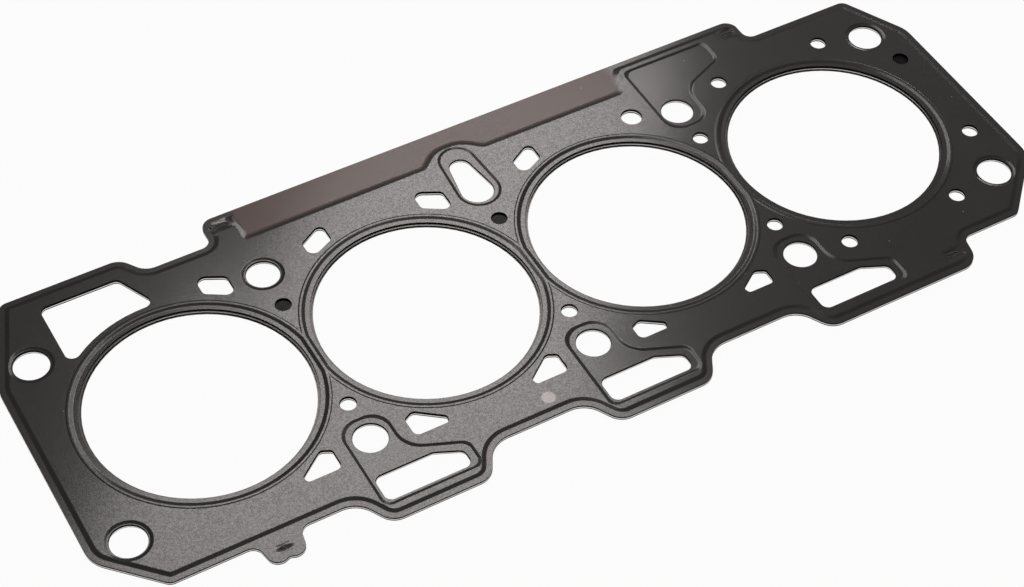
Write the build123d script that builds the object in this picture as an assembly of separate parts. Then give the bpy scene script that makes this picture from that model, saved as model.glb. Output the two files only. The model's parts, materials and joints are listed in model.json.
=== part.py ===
from build123d import *
import math
import os

# Multi-layer steel cylinder head gasket: two embossed outer sheets on one flat carrier.
# X runs along the row of cylinders, Y across the deck, Z up through the layers.
# The origin is the centre of the head bolt pattern, halfway through the carrier sheet.

# cylinders and head bolts
cylinder_pitch = 90.0
cylinder_count = 4
upper_bore_radius = 42.3
carrier_bore_radius = 41.7
lower_bore_radius = 41.2
bolt_row_y = 43.0
end_bolt_x = 180.5
bolt_radius = 6.5
end_bolt_radius = 6.8

# layer thicknesses and embossing
sheet_thickness = 0.25
carrier_thickness = 0.5
layer_gap = 0.3
half_bead_height = 0.25
half_bead_width = 1.4
border_bead_width = 2.0
panel_bead_width = 3.0
land_height = 0.05
ridge_height = 0.1
ridge_inner_radius = 45.5
ridge_outer_radius = 46.0
ridge_foot_width = 0.6
land_slope_width = 1.65
web_ridge_half = 0.3
carrier_margin = 0.2
bolt_pocket_margin = 1.0

# deck outline
left_x = -195.0
right_x = 198.0
foot_y = -65.0
shoulder_y = 65.0
panel_top_y = 77.5
window_lug_top_y = 74.5
window_lug_left_x = -180.5
window_lug_right_x = -133.5
window_lug_slope_run = 6.5
upper_step_left_x = -100.3
upper_step_right_x = 137.4
left_diagonal_top_y = 37.0
left_diagonal_low_y = -44.7
low_left_corner_x = -175.0
right_diagonal_top_y = 39.0
right_diagonal_low_y = -42.0
top_right_corner_x = 184.5
low_right_corner_x = 175.0
corner_round = 4.0
step_round = 5.0
broad_round = 12.0
least_round = 0.8
edge_inset = 2.0

# oil lugs under the bolts
lug_drop = 12.9
lug_slope_run = 7.2
lug_left_reach = 16.6
lug_width = 52.8
lug_round = 7.5
lug_foot_round = 10.0
last_lug_right_x = 149.3
last_lug_slope_run = 2.8

# clamp lug at the lower left
tab_left_x = -144.0
tab_right_x = -127.8
tab_drop = 9.8
tab_slope_run = 1.8
tab_notch_half = 2.0
tab_notch_rise = 0.8
tab_notch_round = 1.5

# oil drain slot shaped like a boot, measured from its bolt
slot_left_reach = 7.3
slot_right_reach = 26.0
slot_top_y = -58.7
slot_bottom_y = -70.0
slot_flat_reach = 16.0
slot_chamfer_drop = 4.5
slot_round = 3.0

# loop of half bead round a bolt and its oil drain
loop_left_reach = 8.8
loop_right_reach = 8.6
loop_end_reach = 29.0
loop_near_y = 34.0
loop_bend_y = 52.3
loop_shoulder_y = 60.7
loop_far_y = 71.4
loop_round = 4.5
loop_bend_round = 9.0
loop_shoulder_round = 5.5
upper_loop_shift = 1.2

# tapered oil slot in the middle of the upper side
oil_slot_end_radius = 4.4
oil_slot_end_y = 56.3
oil_loop_x = 0.5
oil_loop_radius = 8.3
oil_loop_end_radius = 7.0
oil_loop_end_y = 59.9

# marking panel along the upper edge
panel_left_x = -87.5
panel_right_x = 76.4
panel_low_y = 62.5
panel_round = 4.0
panel_turn_round = 6.0
bump_half_width = 5.6
bump_top_y = 69.0
bump_foot_half = 13.2
bump_round = 9.0
bump_foot_round = 7.0
panel_step_run = 1.2
panel_step_y = 70.5
panel_end_run = 12.0
panel_end_rise = 4.0

# coolant passages
web_hole_radius = 3.1
web_hole_y = 26.0
end_hole_radius = 3.2
end_hole_x = 185.5
end_hole_low_y = -20.8
end_hole_high_y = 25.5
round_hole_radius = 3.2
last_bore_holes = [(-25.0, -46.5), (25.0, -46.5), (-21.8, 48.8), (26.4, 49.0)]
single_hole_radius = 4.2
single_hole_reach = 27.3
single_hole_y = 48.6
triangle_tip_reach = 17.0
triangle_base_y = -50.0
triangle_tip_height = 2.8
triangle_tip_run = 0.6
triangle_apex_run = 4.0
triangle_apex_drop = 2.0
triangle_round = 1.4
triangle_apex_round = 2.4
wide_triangle = {"side": 31.0, "apex_y": -39.6}
narrow_triangle = {"side": 29.2, "apex_y": -41.6}

# slanted coolant passages, each outline measured from its own bore centre
falling_oval = [(21.7, 44.4, 2.0), (32.8, 37.7, 2.8), (32.8, 48.3, 2.2), (21.7, 54.0, 3.0)]
rising_oval = [(-25.9, 41.2, 3.0), (-15.1, 46.4, 2.0), (-15.1, 56.0, 2.4), (-25.9, 49.7, 2.0)]

# cam chain window
window_left_x = -168.5
window_top_y = 66.0
window_right_x = -138.0
window_slant_x = -130.3
window_slant_y = 50.0
window_arc_radius = 48.5
window_round = 3.0

# clinch points that hold the sheets together
clinch_slit_length = 5.0
clinch_slit_width = 0.8
clinch_pocket_length = 7.0
clinch_pocket_width = 3.0
clinch_pocket_round = 1.4
clinch_slope_width = 1.8
left_clinch_inset = 7.0
left_clinch_drop = 4.7
right_clinch_inset = 6.0
right_clinch_drop = 6.0
lower_clinch_inset = 9.1
lower_clinch_rise = 7.7
tab_clinch_rise = 4.8

# derived values
pitch = cylinder_pitch
bore_xs = [(k - (cylinder_count - 1) / 2) * pitch for k in range(cylinder_count)]
web_xs = [(a + b) / 2 for a, b in zip(bore_xs, bore_xs[1:])]
lug_y = foot_y - lug_drop
tab_y = foot_y - tab_drop
tab_middle_x = (tab_left_x + tab_right_x) / 2
crest_height = half_bead_height + ridge_height
carrier_face_z = carrier_thickness / 2
cut_over = 0.1
far = 20.0
clinch_points = [
    (upper_step_left_x + left_clinch_inset, panel_top_y - left_clinch_drop),
    (upper_step_right_x - right_clinch_inset, panel_top_y - right_clinch_drop),
    (last_lug_right_x - lower_clinch_inset, lug_y + lower_clinch_rise),
    (tab_middle_x, tab_y + tab_clinch_rise),
]


def lug_corners(bolt_x):
    left = bolt_x - lug_left_reach
    return [
        (left, foot_y, lug_foot_round),
        (left + lug_slope_run, lug_y, lug_round),
        (left + lug_width - lug_slope_run, lug_y, lug_round),
        (left + lug_width, foot_y, lug_foot_round),
    ]


def deck_corners(with_tab):
    tab = [
        (tab_left_x, foot_y, corner_round),
        (tab_left_x + tab_slope_run, tab_y, corner_round),
        (tab_middle_x - tab_notch_half, tab_y, tab_notch_round),
        (tab_middle_x, tab_y + tab_notch_rise, tab_notch_round),
        (tab_middle_x + tab_notch_half, tab_y, tab_notch_round),
        (tab_right_x - tab_slope_run, tab_y, corner_round),
        (tab_right_x, foot_y, corner_round),
    ]
    last_left = lug_corners(web_xs[2])[:2]
    last_right = [
        (last_lug_right_x - last_lug_slope_run, lug_y, lug_round),
        (last_lug_right_x, foot_y, corner_round),
    ]
    slope_foot_x = window_lug_right_x + window_lug_slope_run
    return (
        [(low_left_corner_x, foot_y, corner_round)]
        + (tab if with_tab else [])
        + lug_corners(web_xs[0])
        + lug_corners(web_xs[1])
        + last_left
        + last_right
        + [
            (low_right_corner_x, foot_y, corner_round),
            (right_x, right_diagonal_low_y, broad_round),
            (right_x, right_diagonal_top_y, broad_round),
            (top_right_corner_x, shoulder_y, corner_round),
            (upper_step_right_x, shoulder_y, corner_round),
            (upper_step_right_x, panel_top_y, step_round),
            (upper_step_left_x, panel_top_y, step_round),
            (upper_step_left_x, shoulder_y, corner_round),
            (slope_foot_x, shoulder_y, lug_round),
            (window_lug_right_x, window_lug_top_y, lug_round),
            (window_lug_left_x, window_lug_top_y, corner_round),
            (left_x, left_diagonal_top_y, broad_round),
            (left_x, left_diagonal_low_y, broad_round),
        ]
    )


def offset_corners(corners, inset):
    """Corners of the same outline moved inwards by inset, for a counter-clockwise outline."""
    moved = []
    count = len(corners)
    for i in range(count):
        before = Vector(*corners[i - 1][:2])
        here = Vector(*corners[i][:2])
        after = Vector(*corners[(i + 1) % count][:2])
        arriving = (here - before).normalized()
        leaving = (after - here).normalized()
        turn = arriving.X * leaving.Y - arriving.Y * leaving.X
        along = (1 - arriving.dot(leaving)) / turn
        shift = Vector(-arriving.Y, arriving.X) * inset - arriving * (inset * along)
        radius = corners[i][2] - math.copysign(inset, turn)
        moved.append((here.X + shift.X, here.Y + shift.Y, max(radius, least_round)))
    return moved


def rounded_wire(corners, inset=0.0, z=0.0):
    """Closed wire of straight lines and corner arcs."""
    points = offset_corners(corners, inset)
    count = len(points)
    arcs = []
    for i in range(count):
        before = Vector(*points[i - 1][:2])
        here = Vector(*points[i][:2])
        after = Vector(*points[(i + 1) % count][:2])
        arriving = (here - before).normalized()
        leaving = (after - here).normalized()
        half_turn = math.acos(max(-1, min(1, arriving.dot(leaving)))) / 2
        reach = points[i][2] * math.tan(half_turn)
        start = here - arriving * reach
        end = here + leaving * reach
        bisector = (leaving - arriving).normalized()
        depth = points[i][2] * (1 / math.cos(half_turn) - 1)
        arcs.append((start, here + bisector * depth, end))
    edges = []
    for i in range(count):
        start, middle, end = arcs[i]
        edges.append(Edge.make_three_point_arc(start, middle, end))
        edges.append(Edge.make_line(end, arcs[(i + 1) % count][0]))
    return Pos(0, 0, z) * Wire(edges)


def sloped_solid(corners, low_inset, high_inset, z_low, z_high):
    wires = [rounded_wire(corners, low_inset, z_low), rounded_wire(corners, high_inset, z_high)]
    return Solid.make_loft(wires, ruled=True)


def pocket(corners, bead_width=half_bead_width):
    """Tool that presses an outline down from the raised area to the border level."""
    reach = bead_width / 2 + bead_width / half_bead_height * cut_over
    return sloped_solid(corners, reach, -reach, -cut_over, half_bead_height + cut_over)


def clinch_pocket(x, y):
    """Tool that presses a sheet down to the carrier at a clinch point."""
    drop = layer_gap + half_bead_height
    steep = clinch_slope_width / drop * cut_over
    corners = box_corners(x, y, clinch_pocket_length, clinch_pocket_width, clinch_pocket_round)
    return sloped_solid(corners, 0, -clinch_slope_width - steep, 0, drop + cut_over)


def frustum(x, y, low_radius, high_radius, z_low, z_high):
    height = z_high - z_low
    return Pos(x, y, (z_low + z_high) / 2) * Cone(low_radius, high_radius, height)


def round_pocket(x, y, radius):
    reach = half_bead_width / 2 + half_bead_width / half_bead_height * cut_over
    return frustum(x, y, radius - reach, radius + reach, -cut_over, half_bead_height + cut_over)


def shifted(corners, dx):
    return [(x + dx, y, r) for x, y, r in corners]


def mirrored_x(corners):
    return [(-x, y, r) for x, y, r in reversed(corners)]


def mirrored_y(corners):
    return [(x, -y, r) for x, y, r in reversed(corners)]


def box_corners(x, y, length, width, radius):
    return [
        (x + side * length / 2, y + end * width / 2, radius)
        for side, end in ((-1, -1), (1, -1), (1, 1), (-1, 1))
    ]


def loop_corners():
    return [
        (-loop_left_reach, -loop_far_y, loop_round),
        (loop_end_reach, -loop_far_y, loop_round),
        (loop_end_reach, -loop_shoulder_y, loop_shoulder_round),
        (loop_right_reach, -loop_bend_y, loop_bend_round),
        (loop_right_reach, -loop_near_y, loop_right_reach),
        (-loop_left_reach, -loop_near_y, loop_right_reach),
    ]


def triangle_corners(kind):
    """Low passage beside a bore, its tip towards the bore's own centre line."""
    side, apex_y = kind["side"], kind["apex_y"]
    return [
        (triangle_tip_reach, triangle_base_y + triangle_tip_height, triangle_round),
        (triangle_tip_reach + triangle_tip_run, triangle_base_y, triangle_round),
        (side, triangle_base_y, triangle_apex_round),
        (side, apex_y - triangle_apex_drop, triangle_round),
        (side - triangle_apex_run, apex_y, triangle_apex_round),
    ]


def panel_corners():
    top = panel_top_y + far
    return [
        (panel_left_x, panel_low_y, panel_round),
        (oil_loop_x - bump_foot_half, panel_low_y, bump_foot_round),
        (oil_loop_x - bump_half_width, bump_top_y, bump_round),
        (oil_loop_x + bump_half_width, bump_top_y, bump_round),
        (oil_loop_x + bump_foot_half, panel_low_y, bump_foot_round),
        (panel_right_x, panel_low_y, panel_turn_round),
        (panel_right_x + panel_step_run, panel_step_y, panel_round),
        (panel_right_x + panel_end_run, panel_top_y + panel_end_rise, panel_round),
        (panel_right_x + panel_end_run, top, panel_round),
        (panel_left_x, top, panel_round),
    ]


def keyhole_face(big_radius, big_y, small_radius, small_y):
    """Area swept by a circle that shrinks on its way from one centre to the other."""
    gap = small_y - big_y
    lean = math.asin((big_radius - small_radius) / gap)
    side = Vector(math.cos(lean), math.sin(lean))
    other = Vector(-side.X, side.Y)
    big = Vector(0, big_y)
    small = Vector(0, small_y)
    lower = Edge.make_three_point_arc(
        big + other * big_radius, big - Vector(0, big_radius), big + side * big_radius
    )
    upper = Edge.make_three_point_arc(
        small + side * small_radius, small + Vector(0, small_radius), small + other * small_radius
    )
    right = Edge.make_line(big + side * big_radius, small + side * small_radius)
    left = Edge.make_line(small + other * small_radius, big + other * big_radius)
    return Wire([lower, right, upper, left])


def keyhole_pocket():
    reach = half_bead_width / 2 + half_bead_width / half_bead_height * cut_over
    wires = []
    for grow, z in ((-reach, -cut_over), (reach, half_bead_height + cut_over)):
        wire = keyhole_face(
            oil_loop_radius + grow, bolt_row_y, oil_loop_end_radius + grow, oil_loop_end_y
        )
        wires.append(Pos(oil_loop_x, 0, z) * wire)
    return Solid.make_loft(wires, ruled=True)


def bore_pocket(index):
    """Tool for the sunk land round one bore, cut flat where two bores share a web."""
    x = bore_xs[index]
    rise = crest_height - land_height
    slope = land_slope_width / rise
    over = slope * cut_over
    top = crest_height + cut_over
    cone = frustum(
        x, 0, ridge_inner_radius - land_slope_width, ridge_inner_radius + over, land_height, top
    )
    web_reach = pitch / 2 - web_ridge_half
    left_reach = web_reach if index > 0 else pitch
    right_reach = web_reach if index < cylinder_count - 1 else pitch
    profile = Polyline(
        (x - left_reach + land_slope_width, 0, land_height),
        (x + right_reach - land_slope_width, 0, land_height),
        (x + right_reach + over, 0, top),
        (x - left_reach - over, 0, top),
        close=True,
    )
    return cone & extrude(make_face(profile), pitch, dir=(0, 1, 0), both=True)


def raised_area():
    """Solid under the raised part of an embossed sheet, from the border level up."""
    deck = deck_corners(False)
    area = sloped_solid(deck, edge_inset, edge_inset + border_bead_width, 0, half_bead_height)
    tools = [pocket(shifted(loop_corners(), x)) for x in web_xs]
    tools.append(pocket(shifted(mirrored_y(loop_corners()), web_xs[2] + upper_loop_shift)))
    tools.append(pocket(panel_corners(), panel_bead_width))
    tools.append(keyhole_pocket())
    tools.append(round_pocket(web_xs[0], bolt_row_y, bolt_radius + bolt_pocket_margin))
    for x in (-end_bolt_x, end_bolt_x):
        for y in (-bolt_row_y, bolt_row_y):
            tools.append(round_pocket(x, y, end_bolt_radius + bolt_pocket_margin))
    area = area - tools
    foot = ridge_outer_radius + ridge_foot_width
    slope = ridge_foot_width / ridge_height
    for x in bore_xs:
        area = area + frustum(
            x, 0, foot + slope * cut_over, ridge_outer_radius,
            half_bead_height - cut_over, crest_height
        )
    return area - [bore_pocket(i) for i in range(cylinder_count)]


def column(wire, height):
    return Pos(0, 0, -far / 2) * extrude(make_face(wire), height, dir=(0, 0, 1))


def bolt_holes(shrink):
    span = far * 2
    rounds = [(x, y, bolt_radius) for x in web_xs for y in (-bolt_row_y, bolt_row_y)]
    for x in (-end_bolt_x, end_bolt_x):
        rounds += [(x, -bolt_row_y, end_bolt_radius), (x, bolt_row_y, end_bolt_radius)]
    return [Pos(x, y, 0) * Cylinder(radius - shrink, span) for x, y, radius in rounds]


def passages(shrink):
    """Columns through every oil slot and coolant passage."""
    cuts = []
    span = far * 2
    rounds = [(x, -web_hole_y, web_hole_radius) for x in web_xs]
    rounds.append((web_xs[2], web_hole_y, web_hole_radius))
    rounds.append((end_hole_x, end_hole_low_y, end_hole_radius))
    rounds += [(bore_xs[-1] + x, y, round_hole_radius) for x, y in last_bore_holes]
    rounds.append((bore_xs[2] + single_hole_reach, single_hole_y, single_hole_radius))
    for x, y, radius in rounds:
        cuts.append(Pos(x, y, 0) * Cylinder(radius - shrink, span))
    slot = [
        (-slot_left_reach, slot_bottom_y, slot_round),
        (slot_right_reach, slot_bottom_y, slot_round),
        (slot_right_reach, slot_top_y - slot_chamfer_drop, slot_round),
        (slot_flat_reach, slot_top_y, slot_round),
        (-slot_left_reach, slot_top_y, slot_round),
    ]
    cuts += [column(rounded_wire(shifted(slot, x), shrink), span) for x in web_xs]
    outlines = [shifted(triangle_corners(wide_triangle), x) for x in bore_xs[:2]]
    outlines.append(shifted(triangle_corners(narrow_triangle), bore_xs[2]))
    outlines.append(shifted(mirrored_x(triangle_corners(wide_triangle)), bore_xs[1]))
    outlines.append(shifted(mirrored_x(triangle_corners(narrow_triangle)), bore_xs[2]))
    outlines += [shifted(falling_oval, x) for x in bore_xs[:2]]
    outlines += [shifted(rising_oval, x) for x in bore_xs[1:3]]
    cuts += [column(rounded_wire(outline, shrink), span) for outline in outlines]
    cuts.append(column(keyhole_face(
        bolt_radius - shrink, bolt_row_y, oil_slot_end_radius - shrink, oil_slot_end_y
    ), span))
    cuts.append(window_column(shrink, span))
    return cuts


def tangent_arc(center, start, end, radius):
    outward = ((start - center) + (end - center)).normalized()
    return Edge.make_three_point_arc(start, center + outward * radius, end)


def window_column(shrink, span):
    """Column through the window, whose lower side follows the first bore."""
    bore = Vector(bore_xs[0], 0)
    left = window_left_x + shrink
    top = window_top_y - shrink
    arc = window_arc_radius + shrink
    r = window_round - shrink
    low_slant = Vector(window_slant_x, window_slant_y)
    high_slant = Vector(window_right_x, window_top_y)
    rise = (high_slant - low_slant).normalized()
    inward = Vector(-rise.Y, rise.X)
    left_tip = Vector(left + r, math.sqrt((arc + r) ** 2 - (left + r - bore.X) ** 2))
    base = low_slant + inward * (shrink + r) - bore
    mid = base.dot(rise)
    right_tip = bore + base + rise * (math.sqrt(mid ** 2 - base.dot(base) + (arc + r) ** 2) - mid)
    corner_run = (top - r - right_tip.Y) / rise.Y
    right_top = right_tip + rise * corner_run
    left_top = Vector(left + r, top - r)
    left_touch = left_tip + (bore - left_tip).normalized() * r
    right_touch = right_tip + (bore - right_tip).normalized() * r
    slant_low = right_tip - inward * r
    slant_high = right_top - inward * r
    top_right = right_top + Vector(0, r)
    top_left = left_top + Vector(0, r)
    side_high = left_top - Vector(r, 0)
    side_low = left_tip - Vector(r, 0)
    wire = Wire([
        tangent_arc(left_tip, side_low, left_touch, r),
        tangent_arc(bore, left_touch, right_touch, arc),
        tangent_arc(right_tip, right_touch, slant_low, r),
        Edge.make_line(slant_low, slant_high),
        tangent_arc(right_top, slant_high, top_right, r),
        Edge.make_line(top_right, top_left),
        tangent_arc(left_top, top_left, side_high, r),
        Edge.make_line(side_high, side_low),
    ])
    return column(wire, span)


def slit(x, y):
    return Pos(x, y, 0) * Box(clinch_slit_length, clinch_slit_width, far)


def embossed_sheet(bore_radius, is_top):
    outline = make_face(rounded_wire(deck_corners(True)))
    slab = extrude(outline, sheet_thickness, dir=(0, 0, 1))
    formed = extrude(outline, layer_gap, dir=(0, 0, 1)) + Pos(0, 0, layer_gap) * raised_area()
    formed -= [clinch_pocket(x, y) for x, y in clinch_points]
    sheet = slab + Pos(0, 0, sheet_thickness) * formed - formed
    cuts = bolt_holes(0) + passages(0)
    cuts += [Pos(x, 0, 0) * Cylinder(bore_radius, far) for x in bore_xs]
    if is_top:
        cuts += [Pos(x, web_hole_y, 0) * Cylinder(web_hole_radius, far) for x in web_xs[:2]]
        cuts.append(Pos(end_hole_x, end_hole_high_y, 0) * Cylinder(end_hole_radius, far))
        cuts += [slit(x, y) for x, y in clinch_points]
    return sheet - cuts


def carrier_sheet():
    outline = make_face(rounded_wire(deck_corners(True)))
    plate = extrude(outline, carrier_thickness, dir=(0, 0, 1))
    cuts = bolt_holes(carrier_margin) + passages(carrier_margin)
    cuts += [Pos(x, 0, 0) * Cylinder(carrier_bore_radius, far) for x in bore_xs]
    return plate - cuts


top_layer = Pos(0, 0, carrier_face_z) * embossed_sheet(upper_bore_radius, True)
carrier_layer = Pos(0, 0, -carrier_face_z) * carrier_sheet()
lower_sheet = Pos(0, 0, carrier_face_z) * embossed_sheet(lower_bore_radius, False)
bottom_layer = mirror(lower_sheet, Plane.XY)

os.makedirs("parts", exist_ok=True)
for name, shape in (
    ("top_layer", top_layer),
    ("carrier_layer", carrier_layer),
    ("bottom_layer", bottom_layer),
):
    solids = shape.solids()
    print(name, len(solids), "solid", round(shape.volume, 1), "mm3", shape.bounding_box())
    export_step(shape.solid(), f"parts/{name}.step")
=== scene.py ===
import bpy
import bmesh
import json
import math
from mathutils import Matrix, Vector

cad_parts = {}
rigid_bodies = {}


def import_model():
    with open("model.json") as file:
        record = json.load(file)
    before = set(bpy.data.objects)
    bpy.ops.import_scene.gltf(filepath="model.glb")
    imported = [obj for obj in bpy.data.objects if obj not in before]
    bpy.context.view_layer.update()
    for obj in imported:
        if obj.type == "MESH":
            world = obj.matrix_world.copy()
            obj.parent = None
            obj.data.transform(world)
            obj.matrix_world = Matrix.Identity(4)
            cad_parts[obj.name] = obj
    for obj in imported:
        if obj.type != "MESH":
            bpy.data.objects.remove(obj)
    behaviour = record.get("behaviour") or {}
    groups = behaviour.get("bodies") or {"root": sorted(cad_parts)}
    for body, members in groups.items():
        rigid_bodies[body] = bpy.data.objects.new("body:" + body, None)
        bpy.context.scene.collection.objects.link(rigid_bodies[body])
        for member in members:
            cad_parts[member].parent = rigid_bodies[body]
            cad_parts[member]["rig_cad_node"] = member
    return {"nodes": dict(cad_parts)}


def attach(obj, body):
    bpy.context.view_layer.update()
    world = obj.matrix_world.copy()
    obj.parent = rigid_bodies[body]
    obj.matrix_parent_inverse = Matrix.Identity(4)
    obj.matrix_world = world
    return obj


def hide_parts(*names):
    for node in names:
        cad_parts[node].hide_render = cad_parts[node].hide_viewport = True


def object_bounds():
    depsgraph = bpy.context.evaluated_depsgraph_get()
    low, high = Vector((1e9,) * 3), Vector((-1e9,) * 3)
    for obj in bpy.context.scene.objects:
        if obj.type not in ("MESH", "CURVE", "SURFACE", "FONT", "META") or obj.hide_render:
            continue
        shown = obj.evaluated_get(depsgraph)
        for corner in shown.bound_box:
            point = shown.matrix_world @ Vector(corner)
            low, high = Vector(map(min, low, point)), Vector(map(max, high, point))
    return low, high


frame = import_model()
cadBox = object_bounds()
print("frame loaded:", sorted(frame["nodes"]))

mm = 0.001

shot = {
    "lens": 81.017,                                 # lens and sensor in millimetres
    "sensor": 36.0,
    "azimuth": -31.122,                             # angles in degrees
    "elevation": 48.970,
    "roll": 2.031,
    "target": (-13.855 * mm, -8.191 * mm, 0.0),
    "distance": 843.80 * mm,
    "nearest": 0.01,
    "farthest": 50.0,
}


def placeCamera():
    turn, rise, roll = (math.radians(shot[k]) for k in ("azimuth", "elevation", "roll"))
    back = Vector((math.sin(turn) * math.cos(rise), -math.cos(turn) * math.cos(rise), math.sin(rise)))
    level = Vector((math.cos(turn), math.sin(turn), 0.0))
    upright = back.cross(level)
    right = level * math.cos(roll) + upright * math.sin(roll)
    up = upright * math.cos(roll) - level * math.sin(roll)
    lens = bpy.data.cameras.new("Camera")
    lens.lens = shot["lens"]
    lens.sensor_width = shot["sensor"]
    lens.clip_start = shot["nearest"]
    lens.clip_end = shot["farthest"]
    camera = bpy.data.objects.new("Camera", lens)
    bpy.context.scene.collection.objects.link(camera)
    turned = Matrix((right, up, back)).transposed()
    place = Vector(shot["target"]) + back * shot["distance"]
    camera.matrix_world = Matrix.Translation(place) @ turned.to_4x4()
    bpy.context.scene.camera = camera


studio = {
    "room": 0.15,                                   # grey of the room above the lamps
    "lampColour": (1.0, 0.945, 0.93),
    "lamps": {                                      # a lamp with no aim looks straight down
        "softboxNear": {"place": (0.374, 0.905, 1.50), "size": (0.475, 0.596), "watts": 4.2, "spin": 46},
        "softboxFar": {"place": (0.724, 1.299, 1.50), "size": (0.579, 0.411), "watts": 3.95, "spin": 46},
        "fill": {"place": (-0.9, -1.3, 1.7), "size": (1.4, 1.4), "watts": 14.0, "spin": 0, "aim": (0, 0, 0)},
        "rightStrip": {                             # draws the light line on the ring of the last bore
            "place": (1.873, 1.470, 0.880),
            "size": (0.84, 0.16),
            "watts": 5.0,
            "spin": -25,
            "aim": (0.175, 0.02, 0.0),
        },
    },
}


def placeLamp(name):
    facts = studio["lamps"][name]
    light = bpy.data.lights.new(name, "AREA")
    light.shape = "RECTANGLE"
    light.size, light.size_y = facts["size"]
    light.energy = facts["watts"]
    light.color = studio["lampColour"]
    lamp = bpy.data.objects.new(name, light)
    bpy.context.scene.collection.objects.link(lamp)
    turn = Matrix.Identity(4)
    if "aim" in facts:
        away = Vector(facts["place"]) - Vector(facts["aim"])
        turn = away.to_track_quat("Z", "Y").to_matrix().to_4x4()
    spin = Matrix.Rotation(math.radians(facts["spin"]), 4, "Z")
    lamp.matrix_world = Matrix.Translation(facts["place"]) @ turn @ spin


def lightRoom():
    world = bpy.data.worlds.new("World")
    bpy.context.scene.world = world
    world.use_nodes = True
    tree = world.node_tree
    path = tree.nodes.new("ShaderNodeLightPath")
    choose = tree.nodes.new("ShaderNodeMix")
    choose.inputs[2].default_value = studio["room"]
    choose.inputs[3].default_value = 1.0            # white to the camera
    tree.links.new(path.outputs["Is Camera Ray"], choose.inputs[0])
    tree.links.new(choose.outputs[0], tree.nodes["Background"].inputs["Strength"])
    tree.nodes["Background"].inputs["Color"].default_value = (1, 1, 1, 1)
    for name in studio["lamps"]:
        placeLamp(name)


class Wire:                                         # a socket that adds and multiplies as a number does
    def __init__(self, tree, socket):
        self.tree = tree
        self.socket = socket

    def maths(self, operation, first, second):
        node = self.tree.nodes.new("ShaderNodeMath")
        node.operation = operation
        for place, value in enumerate((first, second)):
            if isinstance(value, Wire):
                self.tree.links.new(value.socket, node.inputs[place])
            else:
                node.inputs[place].default_value = value
        return Wire(self.tree, node.outputs[0])

    def __add__(self, other):
        return self.maths("ADD", self, other)

    def __rsub__(self, other):
        return self.maths("SUBTRACT", other, self)

    def __mul__(self, other):
        return self.maths("MULTIPLY", self, other)

    __radd__ = __add__
    __rmul__ = __mul__


class Finish:                                       # one material and its nodes
    def __init__(self, name):
        self.material = bpy.data.materials.new(name)
        self.material.use_nodes = True
        self.tree = self.material.node_tree
        self.tree.nodes.clear()

    def add(self, kind, output=0, settings=None, **sockets):
        node = self.tree.nodes.new("ShaderNode" + kind)
        for key, value in (settings or {}).items():
            setattr(node, key, value)
        for key, value in sockets.items():
            numbered = key[0] == "i" and key[1:].isdigit()  # i6 is the socket of that number
            socket = node.inputs[int(key[1:]) if numbered else key.replace("_", " ")]
            if isinstance(value, Wire):
                self.tree.links.new(value.socket, socket)
            else:
                socket.default_value = value
        return Wire(self.tree, node.outputs[output])

    def split(self, vector):
        node = self.tree.nodes.new("ShaderNodeSeparateXYZ")
        self.tree.links.new(vector.socket, node.inputs[0])
        return [Wire(self.tree, node.outputs[k]) for k in range(3)]

    def place(self):                                # object coordinates and their x, y, z
        point = self.add("TexCoord", output="Object")
        return point, self.split(point)

    def noise(self, point, scale, detail, roughness):
        return self.add("TexNoise", Vector=point, Scale=scale, Detail=detail, Roughness=roughness)

    def blend(self, share, first, second):
        return self.add("Mix", output=2, settings={"data_type": "RGBA"}, i0=share, i6=first, i7=second)

    def edge(self, value, low, high):               # 0 below low, 1 above high
        return self.add("MapRange", Value=value, i1=low, i2=high, i3=0.0, i4=1.0)

    def reach(self, x, y, middle):                  # distance in the plan from a point
        plan = self.add("CombineXYZ", X=x, Y=y, Z=0.0)
        distance = {"operation": "DISTANCE"}
        return self.add("VectorMath", output=1, settings=distance, i0=plan, i1=(*middle, 0.0))

    def disc(self, x, y, middle, radius, fade):     # 1 inside a round spot of the plan
        return 1 - self.edge(self.reach(x, y, middle), radius, radius + fade)

    def bend(self, steep, flat):                    # 0 on a flat face, 1 where the sheet is bent
        upright = self.split(self.add("NewGeometry", output="Normal"))[2]
        return 1 - self.edge(upright * upright, steep, flat)

    def done(self, shader):
        out = self.tree.nodes.new("ShaderNodeOutputMaterial")
        self.tree.links.new(shader.socket, out.inputs["Surface"])
        return self.material


coating = {
    "colour": (0.0150, 0.0140, 0.0135, 1),
    "paleColour": (0.026, 0.024, 0.023, 1),
    "coarseScale": 1400.0,                          # the grain has two sizes
    "coarseShare": 0.55,
    "fineScale": 3600.0,
    "peelScale": 420.0,                             # slow waves left as the coat dried
    "cloudScale": 24.0,
    "cloudEdge": (0.35, 0.7),
    "bumpShare": 0.3,                               # of the grain, the rest is peel
    "bumpStrength": 0.3,
    "bumpDepth": 0.04 * mm,
    "roughness": 0.34,
    "grainRoughness": 0.12,
    "cloudRoughness": 0.05,
    "ior": 1.3,
    "coatRoughness": 0.13,
    "coatIor": 1.62,
    "coatEdge": (0.41, 0.59),                       # hollows of the grain lose part of their gloss
    "leastCoat": 0.5,
    "bendEdge": (0.985, 0.9985),                    # squared upward part of the normal
    "bendLoss": 0.55,                               # gloss lost where the coat is stretched
}
panel = {                                           # marking panel along the rear edge
    "colour": (0.135, 0.092, 0.079, 1),
    "left": -88 * mm,
    "right": 76 * mm,
    "rightFade": 4 * mm,
    "low": 61 * mm,
    "fade": 2 * mm,
    "top": 0.85 * mm,                               # it lies lower than the raised field
    "topFade": 0.08 * mm,
    "glossLoss": 0.6,
    "keyhole": ((0.5 * mm, 59.9 * mm), 8.2 * mm, 0.4 * mm),  # the oil pocket reaches into the panel's box
}
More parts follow.
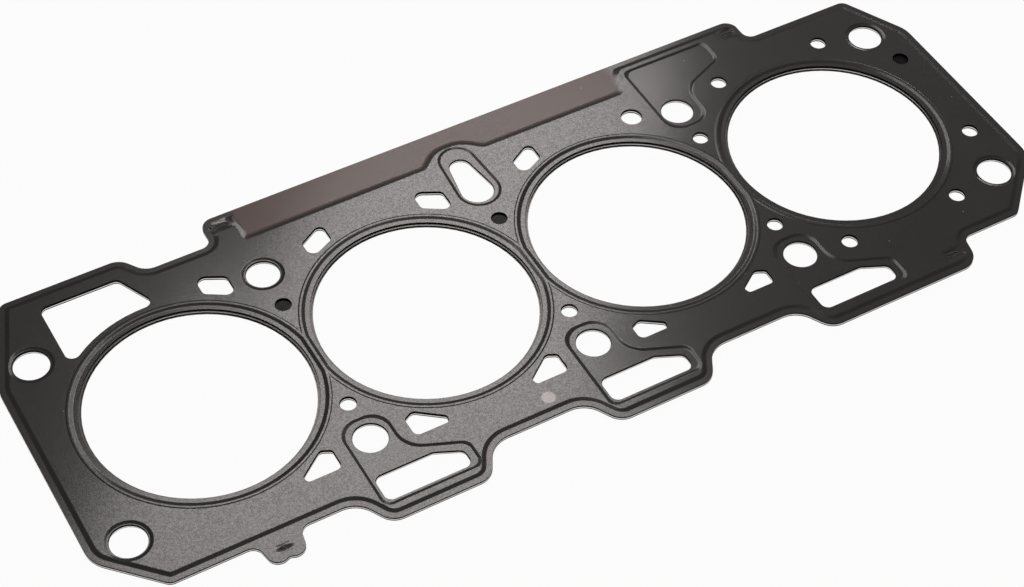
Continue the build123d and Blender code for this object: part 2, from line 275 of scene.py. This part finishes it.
stampMark = {                                       # pale disc with no figure
    "colour": (0.50, 0.45, 0.43, 1),
    "disc": ((-27.0 * mm, -57.2 * mm), 2.25 * mm, 0.6 * mm),
}
dust = {
    "colour": (0.50, 0.49, 0.48, 1),
    "scale": 150.0,
    "size": (0.02, 0.05),
    "chosen": (0.55, 0.6),                          # leaves more than half of the cells clean
    "share": 0.7,
}


def coatedFinish(name, isTop):
    f = Finish(name)
    point, (x, y, z) = f.place()
    coarse = f.noise(point, coating["coarseScale"], 2.0, 0.6)
    fine = f.noise(point, coating["fineScale"], 1.0, 0.5)
    grain = coarse * coating["coarseShare"] + fine * (1 - coating["coarseShare"])
    peel = f.noise(point, coating["peelScale"], 2.0, 0.5)
    cloud = f.edge(f.noise(point, coating["cloudScale"], 3.0, 0.55), *coating["cloudEdge"])
    tone = f.blend(cloud * 0.5 + grain * 0.5, coating["colour"], coating["paleColour"])
    rough = grain * coating["grainRoughness"] + cloud * coating["cloudRoughness"] + coating["roughness"]
    coat = f.edge(grain, *coating["coatEdge"]) * (1 - coating["leastCoat"]) + coating["leastCoat"]
    coat = coat * (1 - f.bend(*coating["bendEdge"]) * coating["bendLoss"])
    if isTop:
        inPanel = f.edge(x, panel["left"], panel["left"] + panel["fade"])
        inPanel = inPanel * (1 - f.edge(x, panel["right"], panel["right"] + panel["rightFade"]))
        inPanel = inPanel * f.edge(y, panel["low"], panel["low"] + panel["fade"])
        inPanel = inPanel * (1 - f.edge(z, panel["top"], panel["top"] + panel["topFade"]))
        inPanel = inPanel * (1 - f.disc(x, y, *panel["keyhole"]))
        tone = f.blend(inPanel, tone, panel["colour"])
        coat = coat * (1 - inPanel * panel["glossLoss"])
        tone = f.blend(f.disc(x, y, *stampMark["disc"]), tone, stampMark["colour"])
    speck = f.add("TexVoronoi", Vector=point, Scale=dust["scale"])
    cell = f.add("TexVoronoi", output=1, Vector=point, Scale=dust["scale"])
    dusty = (1 - f.edge(speck, *dust["size"])) * f.edge(cell, *dust["chosen"])
    tone = f.blend(dusty * dust["share"], tone, dust["colour"])
    height = grain * coating["bumpShare"] + peel * (1 - coating["bumpShare"])
    bump = f.add("Bump", Height=height, Strength=coating["bumpStrength"], Distance=coating["bumpDepth"])
    shader = f.add("BsdfPrincipled", Base_Color=tone, Roughness=rough, Normal=bump, IOR=coating["ior"],
                   Coat_Weight=coat, Coat_Roughness=coating["coatRoughness"], Coat_IOR=coating["coatIor"])
    return f.done(shader)


carrier = {
    "darkColour": (0.055, 0.053, 0.051, 1),
    "lightColour": (0.100, 0.096, 0.092, 1),
    "grainScale": 700.0,
    "bumpStrength": 0.2,
    "bumpDepth": 0.04 * mm,
    "roughness": 0.22,
    "grainRoughness": 0.2,
    "lineColour": (0.80, 0.78, 0.76, 1),            # bright burr where the punch broke through
    "lineFoot": (-0.26 * mm, -0.24 * mm),
    "lineTop": (0.06 * mm, 0.10 * mm),
    "blinds": ((-90 * mm, 26 * mm), (0.0, 26 * mm), (185.5 * mm, 25.5 * mm)),
    "blindRadius": 6 * mm,
    "blindFade": 1 * mm,
    "blindColour": (0.012, 0.012, 0.012, 1),
}


def steelFinish(name):
    f = Finish(name)
    point, (x, y, z) = f.place()
    grain = f.noise(point, carrier["grainScale"], 3.0, 0.6)
    tone = f.blend(grain, carrier["darkColour"], carrier["lightColour"])
    line = f.edge(z, *carrier["lineFoot"]) * (1 - f.edge(z, *carrier["lineTop"]))
    tone = f.blend(line, tone, carrier["lineColour"])
    for middle in carrier["blinds"]:                # the sheet closes these holes and lies in their shade
        blind = f.disc(x, y, middle, carrier["blindRadius"], carrier["blindFade"])
        tone = f.blend(blind, tone, carrier["blindColour"])
    rough = grain * carrier["grainRoughness"] + carrier["roughness"]
    bump = f.add("Bump", Height=grain, Strength=carrier["bumpStrength"], Distance=carrier["bumpDepth"])
    shader = f.add("BsdfPrincipled", Base_Color=tone, Roughness=rough, Normal=bump, Metallic=1.0)
    return f.done(shader)


cut = {                                             # sheared edge of a coated sheet, painted near-black: painted shade standing in for the shade on the hole walls and in the gaps between the sheets
    "colour": (0.006, 0.006, 0.006, 1),
    # the streaks vary the painted shade between two near-blacks
    "streakShadeColour": (0.020, 0.019, 0.018, 1),
    "streakScale": 900.0,
    "bumpStrength": 0.3,
    "bumpDepth": 0.03 * mm,
    "roughness": 0.6,
    "streakRoughness": 0.2,
    "ior": 1.2,
    "upright": 0.75,                                # a face is cut, and takes the painted shade, if its normal's upward part is under this
}


def cutShadeFinish(name):
    f = Finish(name)
    point = f.add("TexCoord", output="Object")
    streak = f.noise(point, cut["streakScale"], 2.0, 0.5)
    tone = f.blend(streak, cut["colour"], cut["streakShadeColour"])
    rough = streak * cut["streakRoughness"] + cut["roughness"]
    bump = f.add("Bump", Height=streak, Strength=cut["bumpStrength"], Distance=cut["bumpDepth"])
    return f.done(f.add("BsdfPrincipled", Base_Color=tone, Roughness=rough, Normal=bump, IOR=cut["ior"]))


sheets = {
    "top_layer": {"name": "top_sheet", "slot": "coated_top", "side": 1},
    "carrier_layer": {"name": "carrier_sheet", "slot": "carrier_steel", "side": 0},
    "bottom_layer": {"name": "bottom_sheet", "slot": "coated_bottom", "side": -1},
}
fold = {
    "merge": 0.002 * mm,
    "flatten": 0.3,                                 # degrees between faces that become one
    "bisect": 0.001 * mm,
    "ease": 0.30,                                   # 0 leaves a slope straight, 1 rolls it into both faces
    "bores": (-135 * mm, -45 * mm, 45 * mm, 135 * mm),
    "clinches": (
        (-93.3 * mm, 72.8 * mm),
        (131.4 * mm, 71.5 * mm),
        (140.2 * mm, -70.2 * mm),
        (-135.9 * mm, -70.0 * mm),
    ),
    "clinchReach": 6.5 * mm,
    "slopeTilt": (0.8, 0.9998),                     # upward part of the normal on a slope
    "slack": 0.01 * mm,
    "bands": (                                      # reach from a bore, heights of both faces, rows between
        {"reach": (46.7 * mm, 400 * mm), "low": 0.80 * mm, "high": 1.05 * mm, "rows": 6},
        {"reach": (45.9 * mm, 46.7 * mm), "low": 1.05 * mm, "high": 1.15 * mm, "rows": 4},
        {"reach": (0.0, 45.9 * mm), "low": 0.85 * mm, "high": 1.15 * mm, "rows": 7},
    ),
    "rim": 0.07 * mm,
    "rimSegments": 2,
    "wallTilt": 0.1,                                # most upward part of a cut wall's normal
    "faceTilt": 0.9,                                # least upward part of a flat face's normal
    "smoothAngle": 32,
    "normalWeight": 80,
}


def onlyThis(piece):
    bpy.ops.object.select_all(action="DESELECT")
    piece.select_set(True)
    bpy.context.view_layer.objects.active = piece


def copySheet(node):
    facts = sheets[node]
    onlyThis(frame["nodes"][node])
    bpy.ops.object.duplicate()
    piece = bpy.context.object
    piece.name = facts["name"]
    del piece["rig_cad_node"]
    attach(piece, "root")
    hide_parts(node)
    bpy.ops.object.mode_set(mode="EDIT")
    bpy.ops.mesh.select_all(action="SELECT")
    bpy.ops.mesh.remove_doubles(threshold=fold["merge"])
    bpy.ops.mesh.dissolve_limited(angle_limit=math.radians(fold["flatten"]))
    bpy.ops.object.mode_set(mode="OBJECT")
    return piece


def boreReach(point):
    return min(math.hypot(point.x - bore, point.y) for bore in fold["bores"])


def nearClinch(point):
    return any(math.hypot(point.x - x, point.y - y) < fold["clinchReach"] for x, y in fold["clinches"])


def isSlope(face, side, band):
    steepest, flattest = fold["slopeTilt"]
    if not steepest < face.normal.z * side < flattest:
        return False
    heights = [corner.co.z * side for corner in face.verts]
    if min(heights) < band["low"] - fold["slack"] or max(heights) > band["high"] + fold["slack"]:
        return False
    middle = face.calc_center_median()
    near, away = band["reach"]
    return near < boreReach(middle) < away and not nearClinch(middle)


def cutRows(piece, side, band):                     # level cuts across the slopes of one band
    low, high, rows = band["low"], band["high"], band["rows"]
    for row in range(1, rows):
        level = low + (high - low) * row / rows
        bpy.ops.mesh.select_all(action="DESELECT")
        shape = bmesh.from_edit_mesh(piece.data)
        for face in shape.faces:
            if isSlope(face, side, band):
                face.select_set(True)
        shape.select_flush_mode()
        bmesh.update_edit_mesh(piece.data)
        bpy.ops.mesh.bisect(plane_co=(0, 0, level * side), plane_no=(0, 0, 1), threshold=fold["bisect"])


def softenSlopes(piece, side):
    onlyThis(piece)
    bpy.ops.object.mode_set(mode="EDIT")
    bpy.ops.mesh.select_mode(type="FACE")
    for band in fold["bands"]:
        cutRows(piece, side, band)
        low, high = band["low"], band["high"]
        shape = bmesh.from_edit_mesh(piece.data)
        moved = {corner for face in shape.faces if isSlope(face, side, band) for corner in face.verts}
        for corner in moved:
            part = (corner.co.z * side - low) / (high - low)
            if 0 < part < 1:
                eased = part * part * (3 - 2 * part)
                corner.co.z = side * (low + (high - low) * (part + (eased - part) * fold["ease"]))
        bmesh.update_edit_mesh(piece.data)
        print(piece.name, "slopes softened:", len(moved), "corners")
    bpy.ops.object.mode_set(mode="OBJECT")


def roundRims(piece, side):
    onlyThis(piece)
    bpy.ops.object.mode_set(mode="EDIT")
    bpy.ops.mesh.select_mode(type="EDGE")
    bpy.ops.mesh.select_all(action="DESELECT")
    shape = bmesh.from_edit_mesh(piece.data)
    for edge in shape.edges:
        if len(edge.link_faces) != 2 or nearClinch(edge.verts[0].co):
            continue
        wall, flat = sorted(edge.link_faces, key=lambda face: abs(face.normal.z))
        if abs(wall.normal.z) < fold["wallTilt"] and flat.normal.z * side > fold["faceTilt"]:
            edge.select_set(True)
    shape.select_flush_mode()
    bmesh.update_edit_mesh(piece.data)
    bpy.ops.mesh.bevel(offset=fold["rim"], segments=fold["rimSegments"], affect="EDGES", clamp_overlap=False)
    bpy.ops.object.mode_set(mode="OBJECT")
    print(piece.name, "rims rounded, faces", len(piece.data.polygons))


def smoothSheet(piece):
    onlyThis(piece)
    bpy.ops.object.shade_smooth_by_angle(angle=math.radians(fold["smoothAngle"]))
    weights = piece.modifiers.new("weights", "WEIGHTED_NORMAL")
    weights.mode = "FACE_AREA_WITH_ANGLE"
    weights.keep_sharp = True
    weights.weight = fold["normalWeight"]
    bpy.ops.object.modifier_apply(modifier=weights.name)


# painted shade: the cut walls take the near-black finish
def paintCutShade(piece, finish):
    piece.data.materials.append(finish)
    for face in piece.data.polygons:
        if abs(face.normal.z) < cut["upright"]:
            face.material_index = 1


def makeSheet(node, finish, shadedCutEdge):
    piece = copySheet(node)
    side = sheets[node]["side"]
    if side:
        softenSlopes(piece, side)
        roundRims(piece, side)
    smoothSheet(piece)
    piece.data.materials.clear()
    piece.data.materials.append(finish)
    if side:
        paintCutShade(piece, shadedCutEdge)
    print(piece.name, "done")


clinch = {
    "corners": 40,
    "length": 6.6,                                  # of the tongue that locks the sheets, in millimetres
    "width": 2.3,
    "foot": 0.36 * mm,
    "steps": (                                      # height over the middle plane, scale along and across
        (0.60 * mm, 0.98, 0.94),
        (0.67 * mm, 0.96, 0.86),
        (0.66 * mm, 0.95, 0.78),
        (0.50 * mm, 0.92, 0.62),
        (0.47 * mm, 0.80, 0.60),
        (0.55 * mm, 0.85, 0.45),
    ),
    "pinch": 0.35,                                  # how much the ends are drawn to a point
    "smoothAngle": 50,
    "rimColour": (0.16, 0.15, 0.145, 1),
    # the near-black below the worn rim is painted shade in the hollow of the eye
    "pitShadeColour": (0.008, 0.008, 0.008, 1),
    "rim": (0.58 * mm, 0.65 * mm),                  # the coat is worn off above these heights
    "wearScale": 2400.0,
    "wearEdge": (0.40, 0.58),
    "bumpStrength": 0.6,
    "bumpDepth": 0.06 * mm,
    "roughness": 0.25,
    "wearRoughness": 0.3,
    "metal": 0.8,
}


def clinchFinish(name, side):
    f = Finish(name)
    point, (x, y, z) = f.place()
    wear = f.noise(point, clinch["wearScale"], 2.0, 0.6)
    worn = f.edge(z * side, *clinch["rim"]) * f.edge(wear, *clinch["wearEdge"])
    # painted shade in the hollow, worn metal on the rim
    tone = f.blend(worn, clinch["pitShadeColour"], clinch["rimColour"])
    rough = wear * clinch["wearRoughness"] + clinch["roughness"]
    bump = f.add("Bump", Height=wear, Strength=clinch["bumpStrength"], Distance=clinch["bumpDepth"])
    metal = worn * clinch["metal"]
    return f.done(f.add("BsdfPrincipled", Base_Color=tone, Roughness=rough, Metallic=metal, Normal=bump))


def makeTongue(x, y, side):                         # pushed through its slit and flattened into an eye
    bpy.ops.object.select_all(action="DESELECT")
    # 1 mm across, so that the resize gives its size in millimetres
    bpy.ops.mesh.primitive_circle_add(vertices=clinch["corners"], radius=0.5 * mm, fill_type="NGON",
                                      location=(x, y, clinch["foot"] * side))
    tongue = bpy.context.object
    bpy.ops.object.mode_set(mode="EDIT")
    bpy.ops.mesh.select_mode(type="FACE")
    bpy.ops.mesh.select_all(action="SELECT")
    bpy.ops.transform.resize(value=(clinch["length"], clinch["width"], 1.0))
    shape = bmesh.from_edit_mesh(tongue.data)
    half = clinch["length"] * mm / 2
    for corner in shape.verts:
        corner.co.y *= 1 - clinch["pinch"] * (corner.co.x / half) ** 2
    bmesh.update_edit_mesh(tongue.data)
    height = clinch["foot"]
    for level, along, across in clinch["steps"]:
        bpy.ops.mesh.extrude_region_move(TRANSFORM_OT_translate={"value": (0, 0, (level - height) * side)})
        bpy.ops.transform.resize(value=(along, across, 1.0))
        height = level
    bpy.ops.mesh.select_all(action="SELECT")
    bpy.ops.mesh.normals_make_consistent(inside=False)
    bpy.ops.object.mode_set(mode="OBJECT")
    return tongue


def makeClinches(name, side):
    firstX, firstY = fold["clinches"][0]
    first = makeTongue(firstX, firstY, side)
    tongues = [first]
    for x, y in fold["clinches"][1:]:
        onlyThis(first)
        bpy.ops.object.duplicate()
        bpy.ops.transform.translate(value=(x - firstX, y - firstY, 0.0))
        tongues.append(bpy.context.object)
    onlyThis(first)
    for tongue in tongues:
        tongue.select_set(True)
    bpy.ops.object.join()
    piece = bpy.context.object
    piece.name = name
    bpy.ops.object.transform_apply(location=True, rotation=True, scale=True)
    bpy.ops.object.shade_smooth_by_angle(angle=math.radians(clinch["smoothAngle"]))
    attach(piece, "root")
    piece.data.materials.append(clinchFinish(name + "_steel", side))
    print(name, "made, faces", len(piece.data.polygons))


paper = {
    "width": 6.0,
    "colour": (0.86, 0.86, 0.86, 1),
    "glow": 0.95,                                   # share of plain white, the rest takes the shadow
}


def floorFinish():
    f = Finish("floor_paper")
    path = f.tree.nodes.new("ShaderNodeLightPath")
    seen = [Wire(f.tree, path.outputs[k]) for k in ("Is Camera Ray", "Is Glossy Ray", "Is Transmission Ray")]
    diffuse = f.add("BsdfDiffuse", Color=paper["colour"])
    white = f.add("Emission", Color=(1, 1, 1, 1), Strength=1.0)
    share = (seen[0] + seen[1] + seen[2]) * paper["glow"]
    lit = f.add("MixShader", i0=share, i1=diffuse, i2=white)
    behind = f.add("NewGeometry", output="Backfacing")  # from below the paper is clear
    return f.done(f.add("MixShader", i0=behind, i1=lit, i2=f.add("BsdfTransparent")))


def layFloor():
    bpy.ops.object.select_all(action="DESELECT")
    bpy.ops.mesh.primitive_plane_add(size=paper["width"], location=(0, 0, cadBox[0].z))
    floor = bpy.context.object
    floor.name = "floor"
    floor.data.materials.append(floorFinish())


placeCamera()
lightRoom()
print("camera and lamps placed")

finishes = {
    "top_layer": coatedFinish("coated_steel_top", True),
    "carrier_layer": steelFinish("bare_steel"),
    "bottom_layer": coatedFinish("coated_steel_bottom", False),
}
shadedCutEdge = cutShadeFinish("cut_edge_shade")
for node in sheets:
    makeSheet(node, finishes[node], shadedCutEdge)
makeClinches("clinch_top", 1)
makeClinches("clinch_bottom", -1)
layFloor()

bpy.context.scene.view_settings.view_transform = "Standard"
